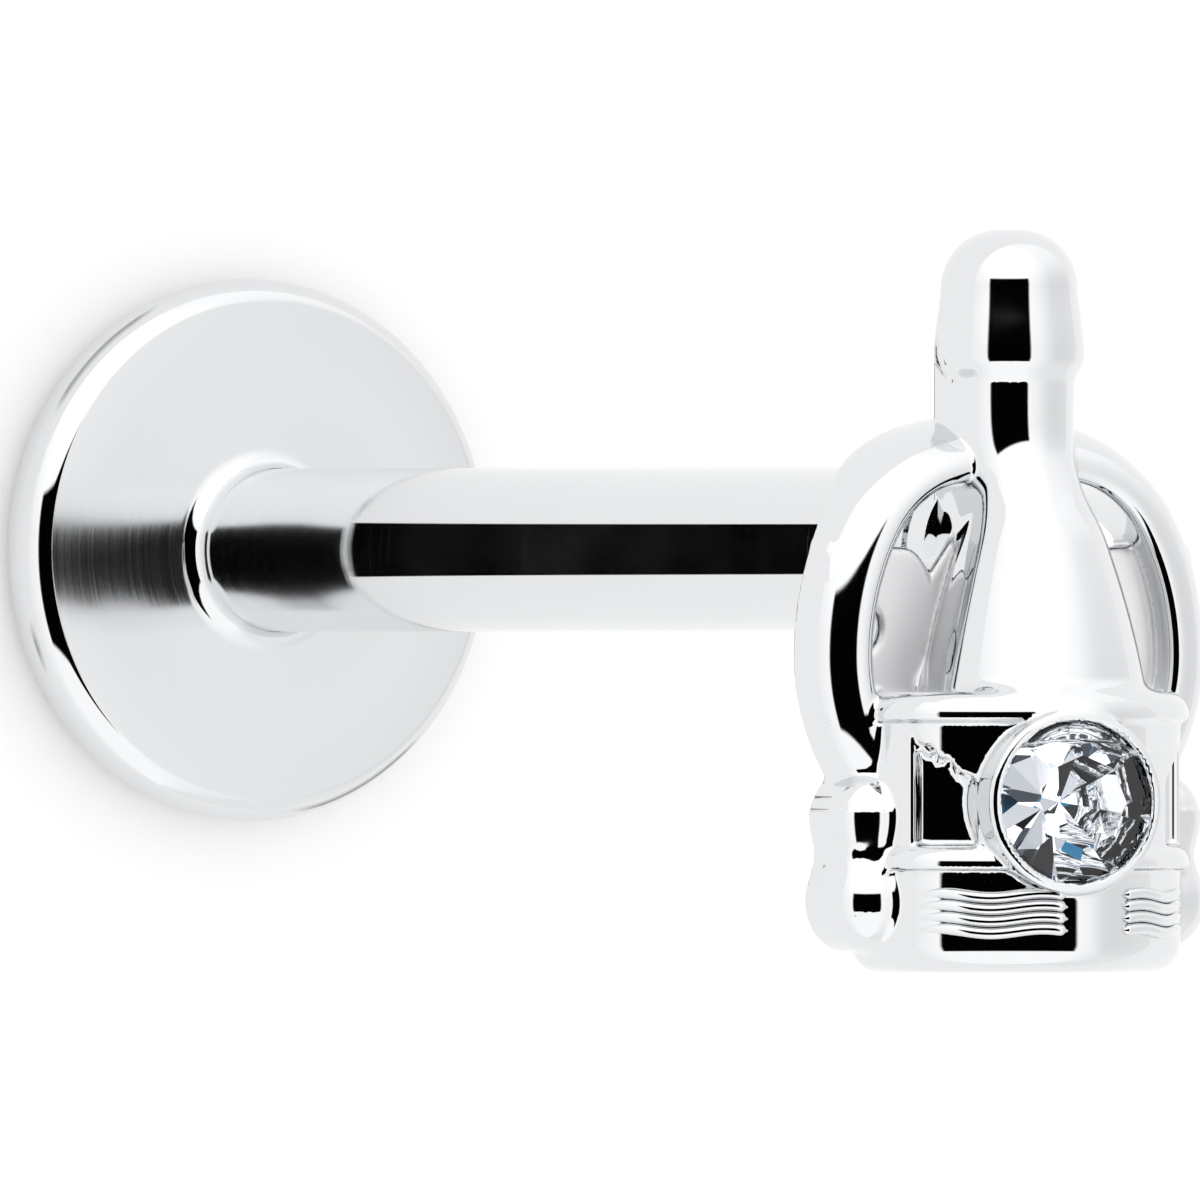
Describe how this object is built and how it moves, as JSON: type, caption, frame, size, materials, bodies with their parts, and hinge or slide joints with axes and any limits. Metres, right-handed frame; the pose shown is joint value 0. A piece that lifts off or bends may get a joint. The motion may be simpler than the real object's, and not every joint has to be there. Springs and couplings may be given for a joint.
{
  "type": "labret stud",
  "caption": "Flat-back labret stud: a round disc and a straight post end in a small cast charm of a bottle standing in a bucket with an arched bail, set with a clear round stone.",
  "frame": {"origin": "centre of the disc's flat back", "axes": "+Z along the post, from the disc to the charm; -X towards the top of the bottle; Y across the charm"},
  "size_m": [0.0053, 0.004, 0.0124],
  "materials": {
    "polished_steel": "mirror-polished surgical steel, with a finely lapped disc face",
    "cast_metal": "mirror-polished white casting, slightly rough in its recesses",
    "clear_stone": "clear faceted stone"
  },
  "bodies": {
    "root": {"disc_and_post": "polished_steel", "bottle_charm": "cast_metal", "stone": "clear_stone"}
  },
  "joints": []
}
